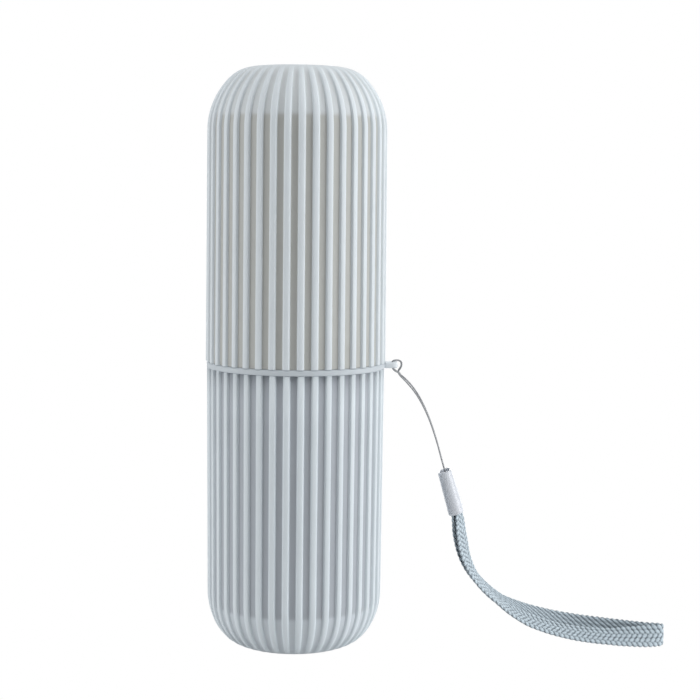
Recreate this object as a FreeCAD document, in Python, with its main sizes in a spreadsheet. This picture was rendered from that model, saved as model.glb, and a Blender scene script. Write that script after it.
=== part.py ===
# Toothbrush travel case: a ribbed cup, a ribbed cover that doubles as a rinse cup, and a ring
# between them with a lug that carries a wrist lanyard. Millimetres, +Z up, base centre at the origin.
import FreeCAD, Part
import math
import os
import Sketcher
from FreeCAD import Placement, Rotation, Vector

doc = FreeCAD.newDocument("toothbrush_travel_case")
sheet = doc.addObject("Spreadsheet::Sheet", "Sheet")

SIZES = {
    # ring, whose radius sets the mouths of both shells
    "ring_radius": 30.7,
    "ring_height": 2.0,
    "ring_clearance": 0.2,
    "cup_inset": 0.1,
    "cover_overhang": 0.3,
    # lower cup, from the floor up to the shoulder that the ring lies on
    "cup_height": 96.7,
    "cup_mouth_radius": "=ring_radius - cup_inset",
    "cup_draft": 0.4,
    "cup_corner_width": 14.3,
    "cup_corner_height": 19.0,
    "cup_floor": 2.6,
    "cup_floor_radius": 13.4,
    # neck of the lower cup, which the ring and the cover slip over
    "neck_height": 12.0,
    "neck_wall": 1.6,
    "neck_lead": 0.5,
    "neck_clearance": 0.15,
    # cover
    "cover_height": 100.3,
    "cover_mouth_radius": "=ring_radius + cover_overhang",
    "cover_draft": 0.3,
    "cover_corner_width": 16.4,
    "cover_corner_height": 21.6,
    "cover_wall": 2.0,
    "cover_top": 2.6,
    "cover_ceiling_radius": 12.4,
    "socket_wall": 1.45,
    "socket_spare": 0.8,
    # ribs of both shells
    "rib_count": 40,
    "rib_angle": 4.2,
    "rib_depth": 0.9,
    "rib_fade": 0.3,
    "rib_phase": 3.3,
    "rib_root": 0.8,
    "panel_angle": 6.9,
    "panel_skin": 0.4,
    # lug of the ring
    "lug_reach": 4.9,
    "lug_width": 5.2,
    "lug_bevel": 0.5,
    "eye_bar": 1.4,
    "eye_gap": 1.3,
    "eye_width": 2.7,
    # divider plate and the rails that hold it
    "divider_height": 91.0,
    "divider_thickness": 1.6,
    "divider_clearance": 0.3,
    "scoop_radius": 13.0,
    "scoop_depth": 8.0,
    "rail_height": 70.0,
    "rail_thickness": 1.2,
    "rail_reach": 1.8,
    # lanyard
    "cord_diameter": 0.5,
    "cord_spacing": 0.6,
    "ferrule_out": 56.6,
    "ferrule_up": 45.0,
    "ferrule_tilt": 16.5,
    "ferrule_twist": 12.0,
    "ferrule_length": 16.0,
    "ferrule_mouth_width": 4.0,
    "ferrule_mouth_depth": 8.4,
    "ferrule_taper": 1.5,
    "ferrule_recess": 2.5,
    "ferrule_rim": 0.7,
    "knot_radius": 1.15,
    "knot_height": 2.0,
    "knot_bevel": 0.45,
    "knot_room": 3.0,
    "strap_width": 7.4,
    "strap_pinch": 5.8,
    "strap_thickness": 1.0,
    "strap_gap": 0.4,
    "strap_tuck": 5.0,
    "lanyard_clearance": 0.2,
}
for row, (alias, amount) in enumerate(SIZES.items(), start=1):
    sheet.set(f"A{row}", alias)
    sheet.set(f"B{row}", str(amount))
    sheet.setAlias(f"B{row}", alias)
doc.recompute()


class Size:
    """A length together with the formula that ties it to the sheet."""

    def __init__(self, value, formula):
        self.value = value
        self.formula = formula

    def join(self, other, sign, value):
        return Size(value, f"({self.formula} {sign} {as_size(other).formula})")

    def __add__(self, other):
        return self.join(other, "+", self.value + as_size(other).value)

    def __sub__(self, other):
        return self.join(other, "-", self.value - as_size(other).value)

    def __mul__(self, number):
        return self.join(number, "*", self.value * number)

    def __truediv__(self, number):
        return self.join(number, "/", self.value / number)


def as_size(thing):
    """Let a bare number stand beside a Size."""
    return thing if isinstance(thing, Size) else Size(thing, str(thing))


def size(alias):
    return Size(float(sheet.get(alias)), f"Sheet.{alias}")


def plane(body, role):
    """One of a body's own origin planes or axes."""
    return next(part for part in body.Origin.OriginFeatures if part.Role == role)


def new_body(label):
    body = doc.addObject("PartDesign::Body", label)
    body.Label = label
    return body


# Profiles

DIAGONAL = math.sqrt(0.5)


def oval_corner(wall, flat, end_is_flat):
    """Quarter of an oval between a wall and a flat end: two tangent arcs that meet at 45 degrees.

    wall and flat are (radius, height) points. The arcs run from the wall to the flat, or back.
    """
    rises = 1 if flat[1].value > wall[1].value else -1
    across = wall[0] - flat[0]
    along = (flat[1] - wall[1]) * rises
    spread = (along - across) * (1 / (2 * DIAGONAL - 1))
    cap_radius = across - spread * (1 - DIAGONAL)
    side_radius = cap_radius + spread
    joint = (flat[0] + cap_radius * DIAGONAL, flat[1] - cap_radius * ((1 - DIAGONAL) * rises))

    def on_arc(centre_r, centre_z, radius, degrees):
        angle = math.radians(degrees)
        return centre_r + radius * math.cos(angle), centre_z + rises * radius * math.sin(angle)

    side_mid = on_arc(wall[0].value - side_radius.value, wall[1].value, side_radius.value, 22.5)
    cap_mid = on_arc(flat[0].value, flat[1].value - rises * cap_radius.value, cap_radius.value, 67.5)
    side = (side_mid, side_radius)
    cap = (cap_mid, cap_radius)
    if end_is_flat:
        return [(joint, side), (flat, cap)]
    return [(joint, cap), (wall, side)]


def facet_corner(wall, flat, end_is_flat, facets=4):
    """Quarter of an oval between a wall and a flat end in straight facets, for floors and insides."""
    spots = []
    for number in range(1, facets):
        angle = math.radians(90 * number / facets)
        across = (wall[0] - flat[0]) * math.cos(angle)
        along = (flat[1] - wall[1]) * math.sin(angle)
        spots.append((flat[0] + across, wall[1] + along))
    return [*spots, flat] if end_is_flat else [*reversed(spots), wall]


def quarter_turn(start, end, radius):
    """Step along a quarter circle that turns left from start to end."""
    chord = Vector(end[0].value - start[0].value, end[1].value - start[1].value, 0)
    outward = Vector(chord.y, -chord.x, 0) * ((1 - DIAGONAL) / (2 * DIAGONAL))
    middle_x = (start[0].value + end[0].value) / 2 + outward.x
    middle_y = (start[1].value + end[1].value) / 2 + outward.y
    return end, ((middle_x, middle_y), radius)


def outline(body, name, role, start, steps):
    """Closed sketch: lines to points, or arcs to (point, (mid point, radius)); points tied to the sheet."""
    sketch = body.newObject("Sketcher::SketchObject", name)
    sketch.AttachmentSupport = [(plane(body, role), "")]
    sketch.MapMode = "FlatFace"
    spots = [start]
    ends = []
    for step in steps:
        is_arc = not hasattr(step[1], "value") and isinstance(step[1], tuple)
        target = step[0] if is_arc else step
        target = (as_size(target[0]), as_size(target[1]))
        here = Vector(as_size(spots[-1][0]).value, as_size(spots[-1][1]).value, 0)
        there = Vector(target[0].value, target[1].value, 0)
        if is_arc:
            middle = Vector(step[1][0][0], step[1][0][1], 0)
            turns_left = (middle - here).cross(there - middle).z > 0
            if turns_left:
                index = sketch.addGeometry(Part.Arc(here, middle, there), False)
            else:
                index = sketch.addGeometry(Part.Arc(there, middle, here), False)
            ends.append((index, 1, 2) if turns_left else (index, 2, 1))
            number = sketch.addConstraint(Sketcher.Constraint("Radius", index, step[1][1].value))
            sketch.setExpression(f"Constraints[{number}]", step[1][1].formula)
        else:
            index = sketch.addGeometry(Part.LineSegment(here, there), False)
            ends.append((index, 1, 2))
        spots.append(target)
    for place, (index, first, last) in enumerate(ends):
        following, next_first, _ = ends[(place + 1) % len(ends)]
        sketch.addConstraint(Sketcher.Constraint("Coincident", index, last, following, next_first))
        across, up = spots[place + 1]
        tie(sketch, "DistanceX", -2, index, last, across)
        tie(sketch, "DistanceY", -1, index, last, up)
    return sketch


def oblong(body, name, middle, width, depth, height):
    """Sketch of a slot with round ends, long along Y, centred at x = middle and set at a height."""
    half = width / 2
    straight = depth / 2 - half
    left, right, end = middle - half, middle + half, depth / 2
    sketch = outline(
        body, name, "XY_Plane",
        (right, straight * -1),
        [
            (right, straight),
            quarter_turn((right, straight), (middle, end), half),
            quarter_turn((middle, end), (left, straight), half),
            (left, straight * -1),
            quarter_turn((left, straight * -1), (middle, end * -1), half),
            quarter_turn((middle, end * -1), (right, straight * -1), half),
        ],
    )
    sketch.AttachmentOffset = Placement(Vector(0, 0, height.value), Rotation())
    sketch.setExpression("AttachmentOffset.Base.z", height.formula)
    return sketch


def pocket(body, name, sketch, depth=None, upward=False):
    """Cut a sketch into the body, to a depth or all the way through."""
    cut = body.newObject("PartDesign::Pocket", name)
    cut.Profile = sketch
    cut.Reversed = upward
    if depth is None:
        cut.Type = "ThroughAll"
    else:
        cut.setExpression("Length", depth.formula)
    body.Tip = cut
    return cut


def tie(sketch, kind, axis, index, end, length):
    """Hold a point at a length from the sketch's origin, or on its axis."""
    if length.value == 0:
        sketch.addConstraint(Sketcher.Constraint("PointOnObject", index, end, axis))
        return
    number = sketch.addConstraint(Sketcher.Constraint(kind, -1, 1, index, end, length.value))
    sketch.setExpression(f"Constraints[{number}]", length.formula)


def revolve(body, name, sketch):
    feature = body.newObject("PartDesign::Revolution", name)
    feature.Profile = sketch
    feature.ReferenceAxis = (sketch, ["V_Axis"])
    feature.Angle = 360
    return feature


def fluting(body, name, sketch, middle, spread):
    """Profile spread between two planes through the axis, so it narrows with the radius, all round."""
    sketch.AttachmentOffset = Placement(Vector(), Rotation(Vector(0, 1, 0), middle.value))
    sketch.setExpression("AttachmentOffset.Rotation.Angle", f"{middle.formula} * 1 deg")
    sides = []
    for hand, turn in (("near", middle - spread / 2), ("far", middle + spread / 2)):
        side = body.newObject("PartDesign::Plane", f"{name}_{hand}_side")
        side.AttachmentSupport = [(plane(body, "XZ_Plane"), "")]
        side.MapMode = "FlatFace"
        side.AttachmentOffset = Placement(Vector(), Rotation(Vector(0, 1, 0), turn.value))
        side.setExpression("AttachmentOffset.Rotation.Angle", f"{turn.formula} * 1 deg")
        sides.append(side)
    doc.recompute()
    wedge = body.newObject("PartDesign::Pad", name)
    wedge.Profile = sketch
    wedge.SideType = "Two sides"
    wedge.Type = "UpToFace"
    wedge.UpToFace = (sides[0], [""])
    wedge.Type2 = "UpToFace"
    wedge.UpToFace2 = (sides[1], [""])
    pattern = body.newObject("PartDesign::PolarPattern", f"{name}_pattern")
    pattern.Originals = [wedge]
    pattern.Axis = (plane(body, "Z_Axis"), [""])
    pattern.Angle = 360
    pattern.setExpression("Occurrences", "Sheet.rib_count")
    body.Tip = pattern


# Shared fits: the neck, the ring and the cover's socket take their radii from one another

socket_radius = size("cover_mouth_radius") - size("rib_depth") - size("socket_wall")
neck_radius = socket_radius - size("neck_clearance")
ring_top = size("cup_height") + size("ring_height")
neck_top = ring_top + size("neck_height")

rib_middle = size("rib_phase")
panel_middle = rib_middle + Size(180 / size("rib_count").value, "(180 / Sheet.rib_count)")

# Lower cup: a plain core, then the panels between the ribs, then the ribs

cup_wall_start = size("cup_corner_height")
cup_crest = size("cup_mouth_radius") - size("cup_draft")
cup_flat = cup_crest - size("cup_corner_width")
cup_valley = cup_crest - size("rib_depth")
cup_mouth_valley = size("cup_mouth_radius") - size("rib_depth")
cup_inner = neck_radius - size("neck_wall")
cup_inner_wall = (cup_inner, cup_wall_start)
cup_inner_flat = (size("cup_floor_radius"), size("cup_floor"))
core_wall = (cup_valley - size("panel_skin"), cup_wall_start)
core_flat = (cup_flat, size("rib_fade") + size("panel_skin"))

lower_cup = new_body("lower_cup")
core_sketch = outline(
    lower_cup, "cup_profile", "XZ_Plane",
    (0, 0),
    [
        (cup_flat, 0),
        core_flat,
        *facet_corner(core_wall, core_flat, end_is_flat=False),
        (cup_mouth_valley - size("panel_skin"), size("cup_height")),
        (neck_radius, size("cup_height")),
        (neck_radius, neck_top - size("neck_lead")),
        (neck_radius - size("neck_lead"), neck_top),
        (cup_inner, neck_top),
        cup_inner_wall,
        *facet_corner(cup_inner_wall, cup_inner_flat, end_is_flat=True, facets=3),
        (0, size("cup_floor")),
        (0, 0),
    ],
)
revolve(lower_cup, "cup_core", core_sketch)


def cup_flute(name, corner, wall_radius, mouth_radius, foot):
    """Strip of the cup's skin, from the foot over the rounded corner and up the wall to the mouth."""
    root_wall = (cup_valley - size("rib_root"), cup_wall_start)
    root_flat = (cup_flat - size("rib_root"), size("rib_fade") + size("rib_root"))
    return outline(
        lower_cup, name, "XZ_Plane",
        (cup_flat - size("rib_root"), foot),
        [
            (cup_flat, foot),
            *corner((wall_radius, cup_wall_start), (cup_flat, foot), end_is_flat=False),
            (mouth_radius, size("cup_height")),
            (cup_mouth_valley - size("rib_root"), size("cup_height")),
            root_wall,
            *facet_corner(root_wall, root_flat, end_is_flat=True),
            (cup_flat - size("rib_root"), foot),
        ],
    )


panel_sketch = cup_flute("cup_panel_profile", facet_corner, cup_valley, cup_mouth_valley, size("rib_fade"))
fluting(lower_cup, "cup_panel", panel_sketch, panel_middle, size("panel_angle"))
rib_sketch = cup_flute("cup_rib_profile", oval_corner, cup_crest, size("cup_mouth_radius"), as_size(0))
fluting(lower_cup, "cup_rib", rib_sketch, rib_middle, size("rib_angle"))

# Rails inside the lower cup, a pair at each side, that the divider slides between

rail_near = size("divider_thickness") / 2 + size("divider_clearance")
rail_far = rail_near + size("rail_thickness")
rail_tip = cup_inner - size("rail_reach")
rail_base = cup_inner + size("rail_thickness")
for side, turn in (("right", 0), ("left", 180)):
    for hand, flip in (("front", -1), ("back", 1)):
        rail = outline(
            lower_cup, f"rail_{side}_{hand}", "XY_Plane",
            (rail_tip, rail_near * flip),
            [
                (rail_base, rail_near * flip),
                (rail_base, rail_far * flip),
                (rail_tip, rail_far * flip),
                (rail_tip, rail_near * flip),
            ],
        )
        rail.AttachmentOffset = Placement(
            Vector(0, 0, cup_wall_start.value), Rotation(Vector(0, 0, 1), turn)
        )
        rail.setExpression("AttachmentOffset.Base.z", cup_wall_start.formula)
        pad = lower_cup.newObject("PartDesign::Pad", f"rail_{side}_{hand}_pad")
        pad.Profile = rail
        pad.setExpression("Length", "Sheet.rail_height")
        lower_cup.Tip = pad

# Cover, drawn from its mouth upward and set on the ring

cover_wall_end = size("cover_height") - size("cover_corner_height")
cover_crest = size("cover_mouth_radius") - size("cover_draft")
cover_flat = cover_crest - size("cover_corner_width")
cover_valley = cover_crest - size("rib_depth")
cover_mouth_valley = size("cover_mouth_radius") - size("rib_depth")
cover_inner = cover_valley - size("cover_wall")
cover_inner_wall = (cover_inner, cover_wall_end)
cover_inner_flat = (size("cover_ceiling_radius"), size("cover_height") - size("cover_top"))
cover_brow = size("cover_height") - size("rib_fade")
core_wall = (cover_valley - size("panel_skin"), cover_wall_end)
core_flat = (cover_flat, cover_brow - size("panel_skin"))
socket_depth = size("neck_height") + size("socket_spare")

upper_cup = new_body("upper_cup")
core_sketch = outline(
    upper_cup, "cover_profile", "XZ_Plane",
    (socket_radius, 0),
    [
        (cover_mouth_valley - size("panel_skin"), 0),
        core_wall,
        *facet_corner(core_wall, core_flat, end_is_flat=True),
        (cover_flat, size("cover_height")),
        (0, size("cover_height")),
        (0, cover_inner_flat[1]),
        cover_inner_flat,
        *facet_corner(cover_inner_wall, cover_inner_flat, end_is_flat=False, facets=3),
        (cover_inner, socket_depth),
        (socket_radius, socket_depth),
        (socket_radius, 0),
    ],
)
revolve(upper_cup, "cover_core", core_sketch)


def cover_flute(name, corner, wall_radius, mouth_radius, brow):
    """Strip of the cover's skin, from the mouth up the wall and over the rounded corner to the top."""
    root_wall = (cover_valley - size("rib_root"), cover_wall_end)
    root_flat = (cover_flat - size("rib_root"), cover_brow - size("rib_root"))
    return outline(
        upper_cup, name, "XZ_Plane",
        (cover_mouth_valley - size("rib_root"), 0),
        [
            (mouth_radius, 0),
            (wall_radius, cover_wall_end),
            *corner((wall_radius, cover_wall_end), (cover_flat, brow), end_is_flat=True),
            (cover_flat - size("rib_root"), brow),
            root_flat,
            *facet_corner(root_wall, root_flat, end_is_flat=False),
            (cover_mouth_valley - size("rib_root"), 0),
        ],
    )


panel_sketch = cover_flute(
    "cover_panel_profile", facet_corner, cover_valley, cover_mouth_valley, cover_brow
)
fluting(upper_cup, "cover_panel", panel_sketch, panel_middle, size("panel_angle"))
rib_sketch = cover_flute(
    "cover_rib_profile", oval_corner, cover_crest, size("cover_mouth_radius"), size("cover_height")
)
fluting(upper_cup, "cover_rib", rib_sketch, rib_middle, size("rib_angle"))
upper_cup.setExpression("Placement.Base.z", ring_top.formula)

# Lanyard ring: a flat hoop round the neck, with a tab whose slot leaves a bar for the cord

ring_inner = neck_radius + size("ring_clearance")
lanyard_ring = new_body("lanyard_ring")
hoop_sketch = outline(
    lanyard_ring, "hoop_profile", "XZ_Plane",
    (ring_inner, 0),
    [
        (size("ring_radius"), 0),
        (size("ring_radius"), size("ring_height")),
        (ring_inner, size("ring_height")),
        (ring_inner, 0),
    ],
)
revolve(lanyard_ring, "hoop", hoop_sketch)

lug_tip = size("ring_radius") + size("lug_reach")
lug_half = size("lug_width") / 2
lug_straight = lug_tip - lug_half
lug_root = (ring_inner + size("ring_radius")) / 2
lug_sketch = outline(
    lanyard_ring, "lug_outline", "XY_Plane",
    (lug_root, lug_half * -1),
    [
        (lug_straight, lug_half * -1),
        quarter_turn((lug_straight, lug_half * -1), (lug_tip, as_size(0)), lug_half),
        quarter_turn((lug_tip, as_size(0)), (lug_straight, lug_half), lug_half),
        (lug_root, lug_half),
        (lug_root, lug_half * -1),
    ],
)
lug = lanyard_ring.newObject("PartDesign::Pad", "lug")
lug.Profile = lug_sketch
lug.setExpression("Length", "Sheet.ring_height")
lanyard_ring.Tip = lug
doc.recompute()

eye_middle = lug_tip - size("eye_bar") - size("eye_gap") / 2
eye_sketch = oblong(lanyard_ring, "eye_outline", eye_middle, size("eye_gap"), size("eye_width"), as_size(0))
eye = pocket(lanyard_ring, "eye", eye_sketch, upward=True)
doc.recompute()


def is_bar_edge(edge):
    """Edges of the tab's rounded end and of the slot, on its top and bottom faces."""
    flat = edge.BoundBox.ZLength < 1e-6
    return flat and edge.BoundBox.XMin > size("ring_radius").value


bar_edges = [f"Edge{n}" for n, edge in enumerate(eye.Shape.Edges, start=1) if is_bar_edge(edge)]
bevel = lanyard_ring.newObject("PartDesign::Chamfer", "lug_bevel")
bevel.Base = (eye, bar_edges)
bevel.setExpression("Size", "Sheet.lug_bevel")
lanyard_ring.Tip = bevel
lanyard_ring.setExpression("Placement.Base.z", "Sheet.cup_height")

# Divider: a plate that stands on the cup's floor between the rails, with a finger scoop on top

plate_side = cup_inner - size("divider_clearance")
plate_flat = size("cup_floor_radius") - size("divider_clearance")
plate_corner = (plate_side, cup_wall_start)
plate_top = size("cup_floor") + size("divider_height")
scoop_floor = plate_top - size("scoop_depth")
brush_divider = new_body("brush_divider")
half_sketch = outline(
    brush_divider, "divider_outline", "XZ_Plane",
    (0, size("cup_floor")),
    [
        (plate_flat, size("cup_floor")),
        *facet_corner(plate_corner, (plate_flat, size("cup_floor")), end_is_flat=False, facets=3),
        (plate_side, plate_top),
        (size("scoop_radius"), plate_top),
        (size("scoop_radius") / 2, scoop_floor),
        (0, scoop_floor),
        (0, size("cup_floor")),
    ],
)
half_plate = brush_divider.newObject("PartDesign::Pad", "half_plate")
half_plate.Profile = half_sketch
half_plate.Midplane = True
half_plate.setExpression("Length", "Sheet.divider_thickness")
whole_plate = brush_divider.newObject("PartDesign::Mirrored", "whole_plate")
whole_plate.Originals = [half_plate]
whole_plate.MirrorPlane = (plane(brush_divider, "YZ_Plane"), [""])
brush_divider.Tip = whole_plate

# Ferrule: a tapered oval sleeve; the strap's two ends sit in its mouth, and the knot stops in its chamber

layers = size("strap_thickness") * 2 + size("strap_gap")
pocket_width = layers + size("lanyard_clearance") * 2
pocket_depth = size("strap_pinch") + size("lanyard_clearance") * 2
chamber_top = size("strap_tuck") + size("knot_room")
hole_width = size("cord_diameter") + size("lanyard_clearance") * 2
hole_depth = hole_width + size("cord_spacing")

ferrule = new_body("ferrule")
mouth_sketch = oblong(
    ferrule, "ferrule_mouth", as_size(0), size("ferrule_mouth_width"), size("ferrule_mouth_depth"), as_size(0)
)
sleeve = ferrule.newObject("PartDesign::Pad", "sleeve")
sleeve.Profile = mouth_sketch
sleeve.setExpression("Length", "Sheet.ferrule_length")
sleeve.setExpression("TaperAngle", "Sheet.ferrule_taper * -1 deg")
ferrule.Tip = sleeve
strap_pocket = outline(
    ferrule, "strap_pocket_outline", "XY_Plane",
    (pocket_width / 2, pocket_depth / -2),
    [
        (pocket_width / 2, pocket_depth / 2),
        (pocket_width / -2, pocket_depth / 2),
        (pocket_width / -2, pocket_depth / -2),
        (pocket_width / 2, pocket_depth / -2),
    ],
)
pocket(ferrule, "strap_pocket", strap_pocket, size("strap_tuck"), upward=True)
chamber_width = (size("knot_radius") + size("lanyard_clearance")) * 2
chamber = oblong(ferrule, "knot_chamber_outline", as_size(0), chamber_width, chamber_width * 1.5, as_size(0))
pocket(ferrule, "knot_chamber", chamber, chamber_top, upward=True)
cord_hole = oblong(ferrule, "cord_hole_outline", as_size(0), hole_width, hole_depth, as_size(0))
pocket(ferrule, "cord_hole", cord_hole, upward=True)
narrowing = Size(
    2 * size("ferrule_length").value * math.tan(math.radians(size("ferrule_taper").value)),
    "(2 * Sheet.ferrule_length * tan(Sheet.ferrule_taper * 1 deg))",
)
rim = narrowing + size("ferrule_rim") * 2
recess = oblong(
    ferrule, "top_recess_outline", as_size(0), size("ferrule_mouth_width") - rim,
    size("ferrule_mouth_depth") - rim, size("ferrule_length"),
)
pocket(ferrule, "top_recess", recess, size("ferrule_recess"))
ferrule.setExpression("Placement.Base.x", "Sheet.ferrule_out")
ferrule.setExpression("Placement.Base.z", "Sheet.ferrule_up")
tilt = Rotation(Vector(0, 1, 0), -size("ferrule_tilt").value)
twist = Rotation(Vector(0, 0, 1), -size("ferrule_twist").value)
ferrule.Placement.Rotation = tilt * twist
doc.recompute()
in_ferrule = ferrule.Placement

# Knot that keeps the cord's two ends in the ferrule

knot_low = chamber_top - size("lanyard_clearance") * 2 - size("knot_height")
knot_end = size("knot_radius") - size("knot_bevel")
cord_knot = new_body("cord_knot")
knot_sketch = outline(
    cord_knot, "knot_profile", "XZ_Plane",
    (0, 0),
    [
        (knot_end, 0),
        (size("knot_radius"), size("knot_bevel")),
        (size("knot_radius"), size("knot_height") - size("knot_bevel")),
        (knot_end, size("knot_height")),
        (0, size("knot_height")),
        (0, 0),
    ],
)
revolve(cord_knot, "knot", knot_sketch)
cord_knot.Placement = in_ferrule * Placement(Vector(0, 0, knot_low.value), Rotation())

# Cord: one length, doubled, hitched round the lug's bar and led through the ferrule to the knot


def rounded_route(points):
    """Straight runs joined by tangent arcs that take 45 % of the shorter run beside each corner."""
    edges, radii, start = [], [], points[0]
    for before, corner, after in zip(points, points[1:], points[2:]):
        back, ahead = before - corner, after - corner
        reach = 0.45 * min(back.Length, ahead.Length)
        half_turn = (math.pi - back.getAngle(ahead)) / 2
        radius = reach / math.tan(half_turn)
        back.normalize()
        ahead.normalize()
        inward = back + ahead
        inward.normalize()
        entry, leave = corner + back * reach, corner + ahead * reach
        middle = corner + inward * (radius / math.cos(half_turn) - radius)
        edges += [Part.makeLine(start, entry), Part.Arc(entry, middle, leave).toShape()]
        radii.append(radius)
        start = leave
    edges.append(Part.makeLine(start, points[-1]))
    return Part.Wire(edges), radii


half_pair = size("cord_spacing").value / 2
bar = Vector((lug_tip - size("eye_bar") / 2).value, 0, (size("cup_height") + size("ring_height") / 2).value)
wrap = max(size("eye_bar").value, size("ring_height").value) / 2 + 0.4
front_strand = [bar + point for point in (
    Vector(-wrap + 0.2, -0.95, -1.8), Vector(-wrap + 0.05, -half_pair, -0.6),
    Vector(-wrap, -half_pair, wrap), Vector(wrap, -half_pair, wrap),
    Vector(wrap, -half_pair, -0.7), Vector(0.1, -half_pair, -2.8),
)]
back_strand = [Vector(point.x, -point.y, point.z) for point in front_strand]
bight = [bar + Vector(1.25, -0.95, -3.1), bar + Vector(1.25, 0.95, -3.1)]
front_strand += [Vector(x, -half_pair, z) for x, z in ((37.8, 91.9), (41.6, 87.4), (45.5, 81.0), (48.7, 72.8))]
back_strand += [Vector(x, half_pair, z) for x, z in ((38.5, 92.4), (42.2, 87.9), (45.7, 81.1), (48.8, 72.8))]
for strand, side in ((front_strand, -half_pair), (back_strand, half_pair)):
    for height in (size("ferrule_length").value + 2, (knot_low + size("knot_height")).value):
        strand.append(in_ferrule.multVec(Vector(0, side, height)))
route, radii = rounded_route(front_strand[::-1] + bight + back_strand)
start = route.Edges[0].valueAt(0)
ahead = route.Edges[0].tangentAt(0)
cord_radius = size("cord_diameter").value / 2
spoke = ahead.cross(Vector(0, 1, 0))
spoke.normalize()
spoke = spoke * cord_radius
rim_points = [start + Rotation(ahead, 60 * number).multVec(spoke) for number in range(6)]
section = Part.makePolygon(rim_points + rim_points[:1])
lanyard_cord = doc.addObject("Part::Feature", "lanyard_cord")
lanyard_cord.Shape = route.makePipeShell([section], True, False)
share = lanyard_cord.Shape.Volume / (Part.Face(section).Area * route.Length)
print("cord bends, mm:", [round(radius, 2) for radius in radii])
print("cord volume over section times length:", round(share, 4))

# Wrist strap: a flat band that leaves the ferrule, turns back on the floor and returns

layer = ((size("strap_thickness") + size("strap_gap")) / 2).value
twisted = size("ferrule_twist").value


def strap_end(side):
    """The two places that hold one end of the strap in the ferrule, with its lean in degrees."""
    tucked = size("strap_tuck") - size("lanyard_clearance") * 2
    places = [Vector(side * layer, 0, height) for height in (tucked.value, -1)]
    return [(in_ferrule.multVec(place), twisted) for place in places]


strap_way = strap_end(1) + [(Vector(x, y, z), lean) for x, y, z, lean in (
    (58.3, 0.0, 39.2, 22), (61.0, 0.0, 28.4, 26), (68.1, 0.0, 17.4, 26), (79.5, -1.0, 9.3, 26),
    (93.4, -2.8, 4.3, 28), (108.0, -6.3, 2.9, 34), (121.4, -9.6, 3.7, 62), (126.0, -9.6, 3.9, 84),
    (128.4, -8.2, 3.9, 90), (127.2, -6.7, 3.9, 90), (123.4, -6.0, 3.9, 88), (111.4, 0.2, 3.9, 78),
    (97.6, 5.6, 4.5, 60), (83.6, 4.9, 8.0, 40), (69.9, 2.0, 15.4, 28), (60.2, 0.5, 26.4, 25),
    (56.6, 0.0, 38.6, 22),
)] + strap_end(-1)[::-1]
middle_line = Part.BSplineCurve()
middle_line.interpolate([place for place, lean in strap_way])
knots = middle_line.getKnots()


def strap_section(along, lean, width):
    """Rectangle square to the middle line; it lies flat at a lean of 0 and stands on edge at 90."""
    place = middle_line.value(along)
    ahead = Vector(*middle_line.tangent(along)[0])
    away = Vector(0, 1, 0) - ahead * ahead.y
    away.normalize()
    rise = ahead.cross(away)
    if rise.x * 0.3 + rise.z < 0:
        rise = rise * -1
    turn = math.radians(lean)
    across = (away * math.cos(turn) + rise * math.sin(turn)) * (width / 2)
    through = ahead.cross(across)
    through.normalize()
    through = through * (size("strap_thickness").value / 2)
    corners = [place + across + through, place - across + through,
               place - across - through, place + across - through]
    return corners


sections = []
for number, (begin, end) in enumerate(zip(strap_way, strap_way[1:])):
    in_mouth = number in (0, len(strap_way) - 2)
    for share in ((0,) if in_mouth else (0, 0.5)):
        pinched = in_mouth or (number == 1 and share == 0)
        width = size("strap_pinch").value if pinched else size("strap_width").value
        along = knots[number] + share * (knots[number + 1] - knots[number])
        sections.append(strap_section(along, begin[1] + share * (end[1] - begin[1]), width))
sections.append(strap_section(knots[-1], twisted, size("strap_pinch").value))


def flat_face(*corners):
    return Part.Face(Part.makePolygon([*corners, corners[0]]))


skin = [flat_face(*sections[0]), flat_face(*sections[-1])]
for near, far in zip(sections, sections[1:]):
    for corner in range(4):
        following = (corner + 1) % 4
        skin.append(flat_face(near[corner], near[following], far[following]))
        skin.append(flat_face(near[corner], far[following], far[corner]))
band = Part.Compound(skin)
band.sewShape()
wrist_strap = doc.addObject("Part::Feature", "wrist_strap")
wrist_strap.Shape = Part.makeSolid(band.Shells[0])

# Check and write out every piece

doc.recompute()
for item in doc.Objects:
    if "Invalid" in item.State or "Error" in item.State:
        raise SystemExit(f"{item.Name} failed: {item.State}")
os.makedirs("parts", exist_ok=True)
for piece in (lower_cup, upper_cup, lanyard_ring, brush_divider, ferrule, cord_knot, lanyard_cord, wrist_strap):
    if piece.Shape.isNull() or not piece.Shape.isValid() or len(piece.Shape.Solids) != 1:
        raise SystemExit(f"{piece.Label} isn't one valid solid")
    print(piece.Label, round(piece.Shape.Volume, 1), piece.Shape.BoundBox)
    piece.Shape.exportStep(f"parts/{piece.Label}.step")
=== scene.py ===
import bpy
import math
import numpy as np
from mathutils import Matrix, Vector


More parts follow.
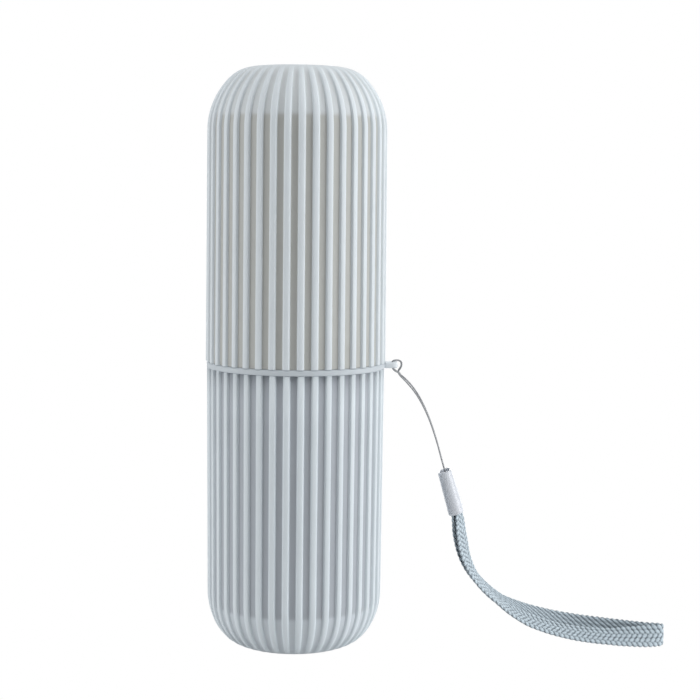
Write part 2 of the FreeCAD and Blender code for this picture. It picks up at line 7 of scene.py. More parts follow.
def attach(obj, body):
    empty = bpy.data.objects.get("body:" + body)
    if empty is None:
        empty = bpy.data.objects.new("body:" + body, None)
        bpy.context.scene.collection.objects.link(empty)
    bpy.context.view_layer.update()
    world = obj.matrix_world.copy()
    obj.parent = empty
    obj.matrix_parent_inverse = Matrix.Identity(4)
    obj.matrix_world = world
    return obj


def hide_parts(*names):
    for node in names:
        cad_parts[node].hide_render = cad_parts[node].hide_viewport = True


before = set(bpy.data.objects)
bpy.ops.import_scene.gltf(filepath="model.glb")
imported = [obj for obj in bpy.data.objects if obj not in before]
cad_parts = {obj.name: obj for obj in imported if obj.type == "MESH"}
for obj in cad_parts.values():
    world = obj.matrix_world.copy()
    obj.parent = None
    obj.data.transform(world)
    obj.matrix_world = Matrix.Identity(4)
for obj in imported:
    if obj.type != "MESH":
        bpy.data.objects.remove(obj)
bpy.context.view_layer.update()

# Studio: a white room with four large soft boxes, the strongest on the right. A white floor throws light
# back up, but the camera doesn't see it and it casts no shadow. The camera stands in front, at four
# fifths of the case's height, and looks a little down.

mm = 0.001
scene = bpy.context.scene
scene.view_settings.view_transform = "Standard"

camera_data = bpy.data.cameras.new("camera")
camera_data.sensor_width = 36
camera_data.lens = 86.719
camera = bpy.data.objects.new("camera", camera_data)
camera_turn, camera_tip, camera_roll = -0.0322, -0.0969, 0.0108
camera.matrix_world = (
    Matrix.Translation((0, -580 * mm, 159.05 * mm))
    @ Matrix.Rotation(camera_turn, 4, "Z")
    @ Matrix.Rotation(math.pi / 2 + camera_tip, 4, "X")
    @ Matrix.Rotation(camera_roll, 4, "Z")
)
scene.collection.objects.link(camera)
scene.camera = camera


def seen_directly(tree):
    """1 for rays that come from the camera or from a mirror or glass, and 0 for rays that carry light."""
    path = tree.nodes.new("ShaderNodeLightPath")
    seen = path.outputs["Is Camera Ray"]
    for ray in ("Is Glossy Ray", "Is Transmission Ray"):
        either = tree.nodes.new("ShaderNodeMath")
        either.operation = "MAXIMUM"
        tree.links.new(seen, either.inputs[0])
        tree.links.new(path.outputs[ray], either.inputs[1])
        seen = either.outputs[0]
    return seen


def link_range(tree, value, low, high):
    """The value from 0 to 1 spread over low to high."""
    spread = tree.nodes.new("ShaderNodeMapRange")
    spread.inputs["To Min"].default_value = low
    spread.inputs["To Max"].default_value = high
    tree.links.new(value, spread.inputs["Value"])
    return spread.outputs["Result"]


scene.world = bpy.data.worlds.new("white_room")
scene.world.use_nodes = True
room = scene.world.node_tree
backdrop = room.nodes["Background"]
backdrop.inputs["Color"].default_value = (1, 1, 1, 1)
room.links.new(link_range(room, seen_directly(room), 0.32, 1.0), backdrop.inputs["Strength"])

floor_mesh = bpy.data.meshes.new("floor")
floor_mesh.from_pydata([(-4, -4, 0), (4, -4, 0), (4, 4, 0), (-4, 4, 0)], [], [(0, 1, 2, 3)])
floor = bpy.data.objects.new("floor", floor_mesh)
scene.collection.objects.link(floor)
white_paper = bpy.data.materials.new("white_paper")
white_paper.use_nodes = True
paper = white_paper.node_tree
sheet = paper.nodes["Principled BSDF"]
sheet.inputs["Base Color"].default_value = (0.7, 0.7, 0.7, 1)
sheet.inputs["Roughness"].default_value = 0.9
sheet.inputs["Emission Color"].default_value = (1, 1, 1, 1)
paper.links.new(link_range(paper, seen_directly(paper), 0.0, 0.75), sheet.inputs["Emission Strength"])
floor_mesh.materials.append(white_paper)
floor.visible_camera = False
floor.visible_shadow = False


def soft_box(name, place, width, height, watts):
    """A rectangular lamp at place, in metres, that faces the middle of the case."""
    case_middle = (0, 0, 0.1)
    lamp = bpy.data.lights.new(name, "AREA")
    lamp.shape = "RECTANGLE"
    lamp.size, lamp.size_y, lamp.energy = width, height, watts
    stand = bpy.data.objects.new(name, lamp)
    stand.rotation_mode = "QUATERNION"
    stand.rotation_quaternion = Vector(np.subtract(case_middle, place)).to_track_quat("-Z", "Y")
    stand.location = place
    scene.collection.objects.link(stand)


soft_box("box_right", (0.85, -0.29, 0.25), 0.6, 0.9, 6.75)
soft_box("box_left", (-0.88, -0.20, 0.25), 0.5, 0.9, 4.45)
soft_box("box_top", (0.1, -0.2, 0.95), 0.7, 0.7, 2.9)
soft_box("box_back", (0.1, 0.95, 0.15), 0.7, 0.5, 3.6)

# Lower cup: injection-moulded satin plastic with forty ribs that run out over the round end. The flute
# floors between the ribs are painted a darker, bluish grey: painted shade for the shadows of the ribs. A
# plain neck goes up inside the cover, and four rails inside the cup hold the divider.


def oval_corner(wall, flat, steps):
    """Quarter of an oval from a wall to a flat, both given as (radius, height): two tangent arcs that
    meet at 45 degrees. Gives the radii, the heights and the turn from 0 at the wall to 1 at the flat."""
    across, rise = wall[0] - flat[0], flat[1] - wall[1]
    spread = (abs(rise) - across) / (math.sqrt(2) - 1)
    cap = across - spread * (1 - math.sqrt(0.5))
    side = cap + spread
    turn = np.linspace(0, math.pi / 2, steps)
    low = turn < math.pi / 4
    bend = np.where(low, side, cap)
    up = np.sign(rise)
    radius = np.where(low, wall[0] - side, flat[0]) + bend * np.cos(turn)
    height = np.where(low, wall[1], flat[1] - up * cap) + up * bend * np.sin(turn)
    return radius, height, turn / (math.pi / 2)


def smooth(low, high, value):
    """0 below low, 1 above high and a soft step between."""
    share = np.clip((value - low) / (high - low), 0, 1)
    return share * share * (3 - 2 * share)


def add_surface(name, points, close_rows=False):
    """A mesh through a grid of points, rows by columns by 3, in mm. The columns close on themselves. The
    rows close too, or else the first and last row are drawn together in a pole."""
    rows, columns = points.shape[:2]
    places = points.reshape(-1, 3) * mm
    number = np.arange(rows * columns).reshape(rows, columns)
    following = np.roll(number, -1, axis=1)
    upper, upper_following = np.roll(number, -1, axis=0), np.roll(following, -1, axis=0)
    faces = np.stack([number, following, upper_following, upper], axis=-1)
    faces = (faces if close_rows else faces[:-1]).reshape(-1, 4).tolist()
    if not close_rows:
        first, last = len(places), len(places) + 1
        places = np.vstack([places, places[:columns].mean(0), places[-columns:].mean(0)])
        faces += np.stack([following[0], number[0], np.full(columns, first)], axis=-1).tolist()
        faces += np.stack([number[-1], following[-1], np.full(columns, last)], axis=-1).tolist()
    mesh = bpy.data.meshes.new(name)
    mesh.from_pydata(places.tolist(), [], faces)
    mesh.polygons.foreach_set("use_smooth", np.ones(len(faces), bool))
    mesh.update()
    piece = bpy.data.objects.new(name, mesh)
    scene.collection.objects.link(piece)
    return piece


def rib_shape():
    """Places across one pitch from -0.5 to 0.5 and the height there, from 0 on the panel to 1 on the
    crest: a crowned top, steep flanks and a small fillet at the foot."""
    left = np.array([
        -0.5, -0.42, -0.34, -0.29, -0.27, -0.255, -0.24, -0.225, -0.21, -0.195, -0.17, -0.13, -0.07
    ])
    place = np.concatenate([left, [0], -left[:0:-1]])
    flank = 1 - smooth(0.175, 0.285, np.abs(place))
    crown = 1 - 0.2 * np.clip(np.abs(place) / 0.21, 0, 1) ** 2
    return place, flank * crown


rib_count, rib_phase, rib_depth = 40, 3.3, 1.0
rib_place, rib_height = rib_shape()
steep = 1 - np.tile(rib_height, rib_count)
wavy = np.tile(np.sin(math.pi * rib_place) ** 2, rib_count)


def rib_depth_over(corner_turn):
    """Depth of the flutes over a round end: full on the wall, a small step less where the painted shade on
    the flute floors steps down, then less and less, until the ribs run out in the smooth cap."""
    step = rib_depth - 0.16 * smooth(0.10, 0.14, corner_turn)
    return step * (1 - smooth(0.45, 0.84, corner_turn))


def mark(piece, name, values):
    """Keep a value for each vertex, for the material to read."""
    layer = piece.data.attributes.new(name, "FLOAT", "POINT")
    layer.data.foreach_set("value", np.asarray(values, np.float32))


def ribbed_shell(name, profile, phase, end):
    """A shell turned about Z from rows of radius, height, depth of the flutes and turn of the corner. Each
    row sinks between the ribs by its depth, out of the wall or, over the round end, along the way that the
    corner faces (end 1 up, -1 down). The ribs are steep on the wall and soften to waves over the round end.
    A mark is 1 on the flute floors of the wall, less over the round end and 0 elsewhere; there the
    material paints shade between the ribs."""
    radius, height, depth, corner_turn = (np.concatenate(column) for column in zip(*profile))
    turn = np.radians(phase + 360 / rib_count * (np.arange(rib_count)[:, None] + rib_place[None, :])).ravel()
    waves = 0.75 * smooth(0.10, 0.60, corner_turn)[:, None]
    sunk = depth[:, None] * (steep + (wavy - steep) * waves)
    facing = corner_turn[:, None] * math.pi / 2
    out = radius[:, None] - sunk * np.cos(facing)
    up = height[:, None] - end * sunk * np.sin(facing)
    shell = add_surface(name, np.stack([out * np.cos(turn), out * np.sin(turn), up], axis=-1))
    # Painted shade on the flute floors: full on the wall, less over the round end, none on the cap.
    flute_shade_mask = 1 - 0.6 * smooth(0.10, 0.15, corner_turn) - 0.4 * smooth(0.5, 0.9, corner_turn)
    flute_shade_mask = np.where(depth > 0, flute_shade_mask, 0)[:, None] * smooth(0.75, 1.0, steep)[None, :]
    mark(shell, "flute_shade", np.concatenate([flute_shade_mask.ravel(), [0, 0]]))
    return shell


def profile_rows(radius, height, depth=0.0, corner_turn=0.0):
    """Rows of a shell's profile. A single number holds for all of them."""
    return np.broadcast_arrays(radius, height, depth, corner_turn)


wall_low, wall_high, neck_radius, bore_radius = 30.2, 30.6, 28.5, 26.9
floor_level, corner_level, shoulder_level = 2.6, 19.0, 96.4
corner_fullness = 0.55
edge_turn = np.linspace(0, math.pi / 2, 5)
base_radius, base_height, base_turn = (
    row[::-1] for row in oval_corner((wall_low, corner_level), (15.9, 0.0), 46)
)
base_radius = base_radius + corner_fullness * np.sin(base_turn * math.pi) ** 2
wall_radius = np.linspace(wall_low, wall_high, 6)[1:]
wall_height = np.linspace(corner_level, shoulder_level, 6)[1:]
well_radius, well_height, _ = oval_corner((bore_radius, corner_level), (13.4, floor_level), 10)
lower_cup = ribbed_shell("cup", [
    profile_rows([5.0, 10.0, 15.0], 0.0, 0.0, 1.0),
    profile_rows(base_radius, base_height, rib_depth_over(base_turn), base_turn),
    profile_rows(wall_radius, wall_height, rib_depth),
    profile_rows(30.3 + 0.3 * np.cos(edge_turn), shoulder_level + 0.3 * np.sin(edge_turn), rib_depth),
    profile_rows([28.7, neck_radius, neck_radius, neck_radius], [96.7, 96.9, 103.0, 110.0]),
    profile_rows(28.1 + 0.4 * np.cos(edge_turn), 110.2 + 0.5 * np.sin(edge_turn)),
    profile_rows(27.2 - 0.3 * np.sin(edge_turn), 110.4 + 0.3 * np.cos(edge_turn)),
    profile_rows(bore_radius, np.linspace(105, 25, 4)),
    profile_rows(well_radius, well_height),
    profile_rows([9.0, 4.0], floor_level),
], rib_phase, -1)


def moulded_grain():
    """Node group: the faint cloudiness and fine pits of moulded plastic, as a shade, a roughness and a
    height."""
    group = bpy.data.node_groups.new("moulded_grain", "ShaderNodeTree")
    for name in ("Shade", "Roughness", "Height"):
        group.interface.new_socket(name, in_out="OUTPUT", socket_type="NodeSocketFloat")
    output = group.nodes.new("NodeGroupOutput")
    place = group.nodes.new("ShaderNodeTexCoord")

    def noise(scale, detail):
        node = group.nodes.new("ShaderNodeTexNoise")
        node.inputs["Scale"].default_value = scale
        node.inputs["Detail"].default_value = detail
        group.links.new(place.outputs["Object"], node.inputs["Vector"])
        return node.outputs["Fac"]

    group.links.new(link_range(group, noise(60, 2), 0.96, 1.04), output.inputs["Shade"])
    group.links.new(link_range(group, noise(220, 3), 0.52, 0.66), output.inputs["Roughness"])
    group.links.new(noise(2600, 2), output.inputs["Height"])
    return group


grain = moulded_grain()


def mixed(tree, kind, first, second, factor):
    """Two colours mixed, as a socket. Each of first, second and factor is a value or a socket to read."""
    node = tree.nodes.new("ShaderNodeMix")
    node.data_type = "RGBA"
    node.blend_type = kind
    for socket, source in (("Factor", factor), ("A", first), ("B", second)):
        if isinstance(source, bpy.types.NodeSocket):
            tree.links.new(source, node.inputs[socket])
        else:
            node.inputs[socket].default_value = source
    return node.outputs["Result"]


def bumped(tree, height, strength):
    """Raise the skin by a height of up to 0.2 mm."""
    bump = tree.nodes.new("ShaderNodeBump")
    bump.inputs["Strength"].default_value = strength
    bump.inputs["Distance"].default_value = 0.0002
    tree.links.new(height, bump.inputs["Height"])
    tree.links.new(bump.outputs["Normal"], tree.nodes["Principled BSDF"].inputs["Normal"])


def plastic(name, colour, flute_shade_colour=None):
    """Satin moulded plastic. With a second, darker colour, the flute floors between the ribs have that one,
    as painted shade."""
    material = bpy.data.materials.new(name)
    material.use_nodes = True
    tree = material.node_tree
    skin = tree.nodes["Principled BSDF"]
    detail = tree.nodes.new("ShaderNodeGroup")
    detail.node_tree = grain
    tint = (*colour, 1)
    # Painted shade: where the mark is 1, the flute floors take the darker second colour.
    if flute_shade_colour:
        flute_shade_mask = tree.nodes.new("ShaderNodeAttribute")
        flute_shade_mask.attribute_name = "flute_shade"
        tint = mixed(tree, "MIX", tint, (*flute_shade_colour, 1), flute_shade_mask.outputs["Fac"])
    tree.links.new(mixed(tree, "MULTIPLY", tint, detail.outputs["Shade"], 1), skin.inputs["Base Color"])
    tree.links.new(detail.outputs["Roughness"], skin.inputs["Roughness"])
    bumped(tree, detail.outputs["Height"], 0.02)
    return material


# The second colour is painted shade on the cup's flute floors, a darker bluish grey.
lower_cup.data.materials.append(plastic("cup_plastic", (0.602, 0.660, 0.699), (0.357, 0.386, 0.423)))

rail_half, rail_room, rail_reach, plate_half = 0.6, 0.3, 70.0, 0.8
rail_turn = np.linspace(0, 2 * math.pi, 24, endpoint=False)
rail_section = np.clip(np.stack([np.cos(rail_turn), np.sin(rail_turn)]) * 1.4, -1, 1)
rail_edge = 0.3
rail_low, rail_high = corner_level, rail_reach + floor_level
rail_level = np.array([rail_low, rail_low + rail_edge, rail_high - rail_edge, rail_high])
rail_share = np.array([0.6, 1.0, 1.0, 0.6])[:, None]
for number, (side, face) in enumerate(((-1, -1), (-1, 1), (1, -1), (1, 1))):
    rail = add_surface(f"rail_{number}", np.stack([
        side * (bore_radius - 0.7) + 1.1 * rail_section[0] * rail_share,
        face * (plate_half + rail_room + rail_half) + rail_half * rail_section[1] * rail_share,
        np.broadcast_to(rail_level[:, None], (len(rail_level), len(rail_turn))),
    ], axis=-1))
    rail.data.materials.append(lower_cup.data.materials[0])
    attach(rail, "cup")
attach(lower_cup, "cup")
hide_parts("lower_cup")

# Cover: injection-moulded in the same plastic as the cup, with the same ribs. It is the rinse cup when it
# is off. Its mouth is thinned to a socket that slips over the cup's neck and holds by that fit alone.

cover_mouth, cover_corner, cover_roof, cover_top = 99.0, 177.4, 196.4, 199.0
cover_wall_low, cover_wall_high, cover_bore, cover_rib_shift = 31.0, 30.7, 27.8, -0.45
dome_radius, dome_height, dome_turn = oval_corner((cover_wall_high, cover_corner), (14.3, cover_top), 46)
side_radius = np.linspace(cover_wall_low, cover_wall_high, 6)[1:-1]
side_height = np.linspace(cover_mouth, cover_corner, 6)[1:-1]
hollow_radius, hollow_height, _ = (
    row[::-1] for row in oval_corner((cover_bore, cover_corner), (12.4, cover_roof), 10)
)
cover = ribbed_shell("cover", [
    profile_rows([4.0, 8.0], cover_roof),
    profile_rows(hollow_radius, hollow_height),
    profile_rows(cover_bore, np.linspace(170, 110, 3)),
    profile_rows([cover_bore, 28.65, 28.65], [109.6, 109.5, 104.0]),
    profile_rows(28.95 - 0.3 * np.cos(edge_turn), cover_mouth - 0.3 * np.sin(edge_turn)),
    profile_rows(30.7 + 0.3 * np.sin(edge_turn), cover_mouth - 0.3 * np.cos(edge_turn), rib_depth),
    profile_rows(side_radius, side_height, rib_depth),
    profile_rows(dome_radius, dome_height, rib_depth_over(dome_turn), dome_turn),
    profile_rows([13.6, 9.0, 4.0], cover_top, 0.0, 1.0),
], rib_phase + cover_rib_shift, 1)
# The second colour is painted shade on the cover's flute floors, a darker and warmer grey than on the cup.
cover.data.materials.append(plastic("cover_plastic", (0.602, 0.653, 0.689), (0.40, 0.408, 0.392)))
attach(cover, "cover")
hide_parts("upper_cup")

# Lanyard ring: a plain smooth band of moulded plastic that lies on the cup's shoulder, free to turn, with a
# flat lug on one side. The lug is moulded round an eye, and the cord goes round the bar outside the eye.

ring_level = 97.7
band_turn = np.radians(np.arange(0, 360, 1.5))
section_turn = np.linspace(0, 2 * math.pi, 32, endpoint=False) + math.pi / 32
section_out, section_up = np.cos(section_turn), np.sin(section_turn)
round_off = np.where((section_out > 0) & (section_up > 0), 0.75, 0.35)
band_out = 29.7 + np.clip(section_out * 1.25, round_off - 1, 1 - round_off) + round_off * section_out
band_up = ring_level + np.clip(section_up * 1.25, round_off - 1, 1 - round_off) + round_off * section_up
ring = add_surface("ring", np.stack([
    band_out[:, None] * np.cos(band_turn), band_out[:, None] * np.sin(band_turn),
    np.broadcast_to(band_up[:, None], (len(band_up), len(band_turn))),
], axis=-1), close_rows=True)
# The band is painted darker than the lug, though both are one moulding: painted shade on the band.
ring.data.materials.append(plastic("ring_plastic", (0.47, 0.515, 0.55)))
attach(ring, "ring")
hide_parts("lanyard_ring")


def rounded_box(turn, middle, half_length, half_width, power):
    """Outline in plan: the cosine and sine of the turn, each raised to a power below 1 with its sign kept,
    which fills the corners of an oval."""
    out = np.sign(np.cos(turn)) * np.abs(np.cos(turn)) ** power
    aside = np.sign(np.sin(turn)) * np.abs(np.sin(turn)) ** power
    return np.stack([middle + half_length * out, half_width * aside], axis=-1)


lug_turn = np.linspace(0, 2 * math.pi, 72, endpoint=False)
eye = rounded_box(lug_turn, 33.55, 0.65, 1.35, 0.6)
outside = rounded_box(lug_turn, 32.5, 2.7, 2.6, 0.5)
outwards = np.clip(0.5 + 0.58 * section_out, 0, 1)
lug_up = ring_level + np.clip(section_up * 1.12, -1, 1) * 1.05
lug = add_surface("lug", np.concatenate([
    eye[None] + (outside - eye)[None] * outwards[:, None, None],
    np.broadcast_to(lug_up[:, None, None], (len(lug_up), len(lug_turn), 1)),
], axis=-1), close_rows=True)
# The lug is painted lighter than the band and the ribs: painted light where it stands out into the lamps.
lug.data.materials.append(plastic("lug_plastic_painted_light", (0.68, 0.725, 0.76)))
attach(lug, "ring")

# Divider: a loose moulded plate that stands on the cup's floor between the rails, with rounded edges and a
# scoop at its top for the finger.

plate_reach, plate_top, scoop_depth = 26.6, 93.6, 8
foot_radius, foot_height, _ = (
    row[::-1] for row in oval_corner((plate_reach, corner_level), (13.1, floor_level), 24)
)
scoop = np.linspace(16, 0, 25)
half_rim = np.concatenate([
    np.stack([np.linspace(0, 12, 6), np.full(6, floor_level)], axis=-1),
    np.stack([foot_radius, foot_height], axis=-1),
    np.stack([np.full(6, plate_reach), np.linspace(30, 91, 6)], axis=-1),
    np.stack([25.1 + 1.5 * np.cos(edge_turn), 92.1 + 1.5 * np.sin(edge_turn)], axis=-1),
    np.stack([np.linspace(24, 17, 4), np.full(4, plate_top)], axis=-1),
    np.stack([scoop, plate_top - scoop_depth * (1 - smooth(3, 14, scoop))], axis=-1),
])
rim = np.concatenate([half_rim, half_rim[-2:0:-1] * [-1, 1]])
rim_way = np.roll(rim, -1, axis=0) - np.roll(rim, 1, axis=0)
inwards = np.stack([-rim_way[:, 1], rim_way[:, 0]], axis=-1) / np.linalg.norm(rim_way, axis=1)[:, None]
inset = np.array([1.2, 0.5, 0.2, 0.06, 0, 0, 0.06, 0.2, 0.5, 1.2])
plate_front = np.array([plate_half, plate_half, 0.72, 0.6, 0.45])
plate_through = np.concatenate([plate_front, -plate_front[::-1]])
plate = rim[None] + inwards[None] * inset[:, None, None]
divider = add_surface("divider", np.stack([
    plate[..., 0], np.broadcast_to(plate_through[:, None], plate.shape[:2]), plate[..., 1]
], axis=-1))
divider.data.materials.append(plastic("divider_plastic", (0.56, 0.62, 0.67)))
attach(divider, "divider")
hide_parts("brush_divider")

# Ferrule: a tapered oval sleeve of glossy plastic, open at both ends. The cord comes in through a hole in
# the recess at its top, and the strap's ends are glued into its mouth.

sleeve_tilt, sleeve_twist = math.radians(-16.5), math.radians(-9)
sleeve_place = np.array(
    Matrix.Translation((56.7, 0, 45.4))
    @ Matrix.Rotation(sleeve_tilt, 4, "Y")
    @ Matrix.Rotation(sleeve_twist, 4, "Z")
)


def in_sleeve(points):
    """Points given in the ferrule's own frame, moved to where it hangs."""
    return points @ sleeve_place[:3, :3].T + sleeve_place[:3, 3]


taper = math.tan(math.radians(1.2))
half_width, half_depth, level = np.transpose([
    (1.7, 3.2, 5.0), (1.7, 3.2, 0.8), (1.8, 3.3, 0.5), (2.4, 3.9, 0.4), (2.57, 4.03, 0.45), (2.67, 4.12, 0.6),
    *((2.75 - taper * up, 4.2 - taper * up, up) for up in (1.0, 5.0, 10.0, 15.5)),
    (2.33, 3.78, 15.85), (2.20, 3.66, 16.0), (1.85, 3.30, 16.0), (1.73, 3.18, 15.85), (1.68, 3.13, 15.5),
    (1.68, 3.13, 13.7), (1.55, 3.0, 13.5), (0.5, 0.8, 13.5), (0.45, 0.75, 13.4), (0.45, 0.75, 8.2),
    (0.6, 0.9, 8.0), (1.35, 1.35, 8.0), (1.4, 1.4, 7.8), (1.4, 1.4, 5.1),
])
oval_turn = np.linspace(0, 2 * math.pi, 64, endpoint=False) + math.pi / 64
sleeve_points = np.stack([
    half_width[:, None] * np.cos(oval_turn),
    half_width[:, None] * np.sin(oval_turn) + (half_depth - half_width)[:, None] * np.sign(np.sin(oval_turn)),
    np.broadcast_to(level[:, None], (len(level), len(oval_turn))),
], axis=-1)
ferrule = add_surface("sleeve", in_sleeve(sleeve_points), close_rows=True)
ferrule_plastic = plastic("ferrule_plastic", (0.56, 0.59, 0.64))
ferrule_skin = ferrule_plastic.node_tree.nodes["Principled BSDF"]
ferrule_skin.inputs["Coat Weight"].default_value = 0.7
ferrule_skin.inputs["Coat Roughness"].default_value = 0.22
ferrule.data.materials.append(ferrule_plastic)
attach(ferrule, "lanyard")
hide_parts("ferrule")

# Cord: one thin cord of three twisted plies, doubled. Its bight is hitched round the bar of the lug, and its
# two ends go down together into the hole in the ferrule.

bar = np.array([34.9, 0, ring_level])
hitch = np.array([
    (-1.2, -0.95, -1.8), (-1.6, -0.3, -0.6), (-1.65, -0.3, 1.6), (1.6, -0.3, 1.6), (1.9, -0.3, -0.6),
    (0.1, -0.3, -2.8),
])
front = [
    *(bar + hitch), (38.0, -0.3, 92.1), (41.9, -0.3, 87.6), (45.6, -0.3, 81.0), (48.7, -0.3, 72.8),
    *in_sleeve(np.array([(0, -0.3, 18.0), (0, -0.3, 7.6)])),
]
back = [
    *(bar + hitch * [0.92, -1, 0.92]), (38.4, 0.3, 92.6), (42.2, 0.3, 88.1), (45.8, 0.3, 81.15),
    (48.85, 0.3, 72.8),
    *in_sleeve(np.array([(0, 0.3, 18.0), (0, 0.3, 7.6)])),
]
bight = [(36.15, -0.95, 94.6), (36.15, 0.95, 94.6)]


def line_of(name, route, steps):
    """Points along a smooth NURBS curve that has the route's points, in mm, as its control points."""
    curve = bpy.data.curves.new(name, "CURVE")
    curve.dimensions = "3D"
    curve.resolution_u = steps
    line = curve.splines.new("NURBS")
    line.points.add(len(route) - 1)
    for point, place in zip(line.points, route):
        point.co = (*(number * mm for number in place), 1)
    line.order_u = 3
    line.use_endpoint_u = True
    bare = bpy.data.objects.new(name, curve)
    wire = bpy.data.meshes.new_from_object(bare)
    points = np.empty(len(wire.vertices) * 3)
    wire.vertices.foreach_get("co", points)
    bpy.data.objects.remove(bare)
    bpy.data.curves.remove(curve)
    bpy.data.meshes.remove(wire)
    return points.reshape(-1, 3) / mm


def reach(points):
    """How far along a line each of its points is."""
    return np.concatenate([[0], np.cumsum(np.linalg.norm(np.diff(points, axis=0), axis=1))])


def even_steps(points, step):
    """The line's points again at even steps, and how far along it each one is."""
    reached = reach(points)
    along = np.linspace(0, reached[-1], int(reached[-1] / step))
    return np.stack([np.interp(along, reached, points[:, axis]) for axis in range(3)], axis=-1), along


def unit(vectors):
    """The vectors, each with a length of 1."""
    return vectors / np.linalg.norm(vectors, axis=1)[:, None]


def plied_cord(name, path, along, lean, closed=False):
    """A cord of three plies round a path: its radius swells three times round, and the swells turn with the
    length, one turn in 1.6 mm. lean is a direction that the path never runs along."""
    if closed:
        ahead = unit(np.roll(path, -1, axis=0) - np.roll(path, 1, axis=0))
    else:
        ahead = unit(np.gradient(path, axis=0))
    side = unit(np.cross(ahead, lean))
    top = np.cross(side, ahead)
    around = np.linspace(0, 2 * math.pi, 12, endpoint=False)[None, :]
    swell = np.abs(np.cos(1.5 * (around - 2 * math.pi * along[:, None] / 1.6)))
    radius = (0.20 + 0.08 * swell)[..., None]
    outwards = np.cos(around)[..., None] * side[:, None] - np.sin(around)[..., None] * top[:, None]
    piece = add_surface(name, path[:, None] + radius * outwards, close_rows=closed)
    mark(piece, "groove", np.concatenate([1 - swell.ravel(), [] if closed else [0, 0]]))
    return piece


def thread(name, colour, groove_shade_colour, fuzz):
    """Matt spun thread with painted shade in the grooves between its strands, and fine fibres all over."""
    material = bpy.data.materials.new(name)
    material.use_nodes = True
    tree = material.node_tree
    skin = tree.nodes["Principled BSDF"]
    skin.inputs["Roughness"].default_value = 0.8
    skin.inputs["Sheen Weight"].default_value = 0.25
    skin.inputs["Sheen Roughness"].default_value = 0.4
    groove = tree.nodes.new("ShaderNodeAttribute")
    groove.attribute_name = "groove"
    place = tree.nodes.new("ShaderNodeTexCoord")
    fibres = tree.nodes.new("ShaderNodeTexNoise")
    fibres.inputs["Scale"].default_value = 2400
    fibres.inputs["Detail"].default_value = 3
    tree.links.new(place.outputs["Object"], fibres.inputs["Vector"])
    # Painted shade: the colour darkens towards the second colour in the grooves between the strands.
    strands = mixed(tree, "MIX", (*colour, 1), (*groove_shade_colour, 1), groove.outputs["Fac"])
    speckle = link_range(tree, fibres.outputs["Fac"], 0.75, 1.25)
    tree.links.new(mixed(tree, "MULTIPLY", strands, speckle, 1), skin.inputs["Base Color"])
    bumped(tree, fibres.outputs["Fac"], fuzz)
    return material


cord_path, cord_along = even_steps(line_of("cord_line", front[::-1] + bight + back, 24), 0.14)
cord = plied_cord("cord", cord_path, cord_along, np.array([0.6, 0.5, 0.62]))
# The second colour is painted shade in the grooves between the plies.
cord.data.materials.append(thread("cord_fibre", (0.42, 0.43, 0.45), (0.16, 0.17, 0.18), 0.3))
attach(cord, "lanyard")
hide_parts("lanyard_cord")

# Knot: the cord's two ends, tied in an overhand knot inside the ferrule that can't pass the hole there. It
# is made as a closed trefoil of the same cord.

knot_size, knot_level, knot_length = 0.26, 6.6, 6.4
knot_turn = np.linspace(0, 2 * math.pi, 120, endpoint=False)
trefoil = np.stack([
    np.sin(knot_turn) + 2 * np.sin(2 * knot_turn),
    np.cos(knot_turn) - 2 * np.cos(2 * knot_turn),
    -1.2 * np.sin(3 * knot_turn),
], axis=-1) * knot_size
sleeve_axis = in_sleeve(np.eye(3))[2] - in_sleeve(np.zeros((1, 3)))[0]
knot_along = knot_turn / (2 * math.pi) * knot_length
knot = plied_cord("knot", in_sleeve(trefoil + [0, 0, knot_level]), knot_along, sleeve_axis, closed=True)
knot.data.materials.append(cord.data.materials[0])
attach(knot, "lanyard")
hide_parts("cord_knot")

# Wrist strap: a flat plaited band of thick soft strands, folded back beside the case, with both ends glued
# in the ferrule. Its outer face shows five rows of stitches, two of them slanting the other way, and its
# inner face long strands that meet in a V.

strap_half, row_width, stitch_length = 3.7, 1.48, 1.8
out_of_sleeve = in_sleeve(np.array([(0.75, 0, 4.6), (0.75, 0, -1.0)]))
into_sleeve = in_sleeve(np.array([(-0.8, 0, -1.0), (-0.8, 0, 4.6)]))
strap_way = [
    (*out_of_sleeve[0], 16), (*out_of_sleeve[1], 27),
    (58.15, -0.4, 39.0, 31), (60.4, -0.9, 27.8, 18), (67.4, -1.3, 17.4, 3), (79.0, -2.0, 9.1, 23),
    (93.2, -3.2, 4.5, 27), (108.0, -5.0, 2.9, 34), (121.4, -7.2, 3.7, 62), (126.8, -7.0, 3.9, 84),
    (129.4, -5.6, 3.9, 90), (128.1, -4.2, 3.9, 90), (123.4, -3.6, 3.9, 88), (111.4, 1.6, 3.9, 78),
    (97.6, 5.6, 4.9, 60), (83.6, 5.6, 8.8, 36), (70.0, 3.2, 15.9, 10), (60.2, 1.8, 26.2, 18),
    (56.5, 0.9, 38.6, 24),
    (*into_sleeve[0], 20), (*into_sleeve[1], 16),
]
strap_line = line_of("strap_line", [place[:3] for place in strap_way], 60)
middle, strap_along = even_steps(strap_line, 0.23)
way_share, line_share = np.linspace(0, 1, len(strap_way)), np.linspace(0, 1, len(strap_line))
line_lean = np.interp(line_share, way_share, [place[3] for place in strap_way])
strap_lean = np.radians(np.interp(strap_along, reach(strap_line), line_lean))[:, None]
strap_ahead = unit(np.gradient(middle, axis=0))
away = unit(np.array([0, 1.0, 0]) - strap_ahead * strap_ahead[:, 1:2])
rise = np.cross(strap_ahead, away)
rise *= np.where(rise @ np.array([0.3, 0, 1.0]) < 0, -1, 1)[:, None]
strap_across = away * np.cos(strap_lean) + rise * np.sin(strap_lean)
strap_through = np.cross(strap_ahead, strap_across)
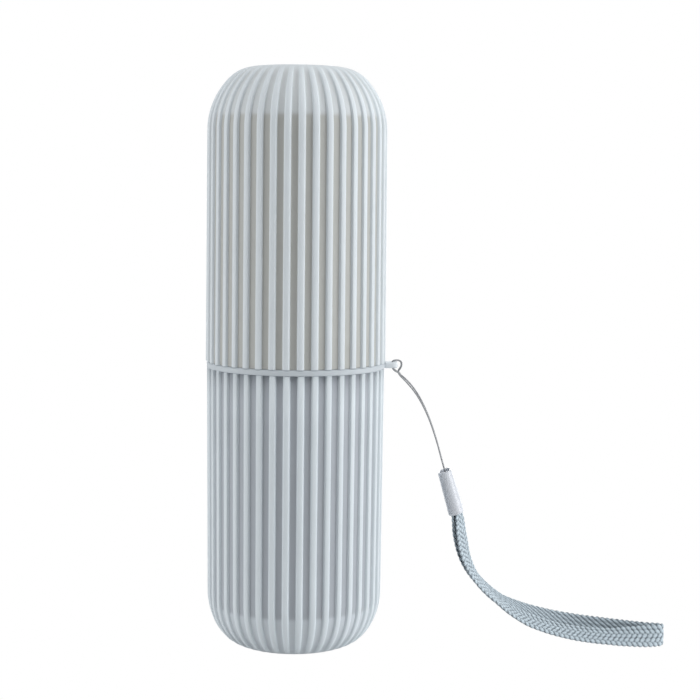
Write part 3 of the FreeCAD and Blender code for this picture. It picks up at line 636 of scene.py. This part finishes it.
strap_width = 6.2 + 1.2 * smooth(4.0, 7, strap_along) * smooth(4.0, 7, strap_along[-1] - strap_along)


def plait(along, across, face):
    """Height of the plaited strands, 0 in a gap and 1 on a strand, at along and across the strap in mm. The
    outer face (1) has five rows of slanting oval stitches, each set between those of the next rows, and the
    height is that of the highest oval there. On the inner face (-1) long strands slant across the strap,
    with a dip at each row."""
    row = np.floor((across + strap_half) / row_width)
    stitches = []
    for near in (-1, 0, 1):
        off = across + strap_half - row_width * (row + near + 0.5)
        slant = np.where((row + near == 1) | (row + near == 2), -0.45, 0.45)
        place = (along + slant * off) / stitch_length + 0.5 * ((row + near) % 2)
        stitches.append(1 - (2 * (place - np.round(place))) ** 2 - off**2)
    outer = np.sqrt(np.clip(np.max(stitches, axis=0), 0.002, 1))
    strand = (along - 1.5 * np.abs(across + 1.9)) / 2.25
    dip = 0.86 + 0.14 * np.cos(2 * math.pi * across / row_width)
    inner = (1 - (2 * (strand - np.round(strand))) ** 2 * 0.98) ** 0.75 * dip
    return np.where(face > 0, outer, inner)


span = np.linspace(1, -1, 57)
span = span * (1.25 - 0.25 * span**2)
side_place = np.concatenate([span, span[-2:0:-1]])[None, :]
strap_face = np.concatenate([np.ones(57), -np.ones(55)])[None, :]
lengthways, sideways = strap_along[:, None], side_place * strap_width[:, None] / 2
relief = plait(lengthways, sideways, strap_face)
scallop = np.abs(side_place) ** 12 * 0.4 * (np.abs(np.cos(math.pi * lengthways / stitch_length)) - 0.5)
sideways = (sideways + np.sign(sideways) * scallop)[..., None]
lift = (strap_face * (0.20 + 0.42 * relief) * np.sqrt(1 - np.abs(side_place) ** 7))[..., None]
strap = add_surface(
    "strap", middle[:, None] + strap_across[:, None] * sideways + strap_through[:, None] * lift
)
groove_depth = (1 - relief) ** np.where(strap_face > 0, 1.0, 0.9)
mark(strap, "groove", np.concatenate([groove_depth.ravel(), [0, 0]]))
# The second, near-black colour is painted shade in the gaps between the strands.
strap.data.materials.append(thread("strap_webbing", (0.53, 0.625, 0.69), (0.06, 0.075, 0.095), 0.35))
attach(strap, "lanyard")
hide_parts("wrist_strap")
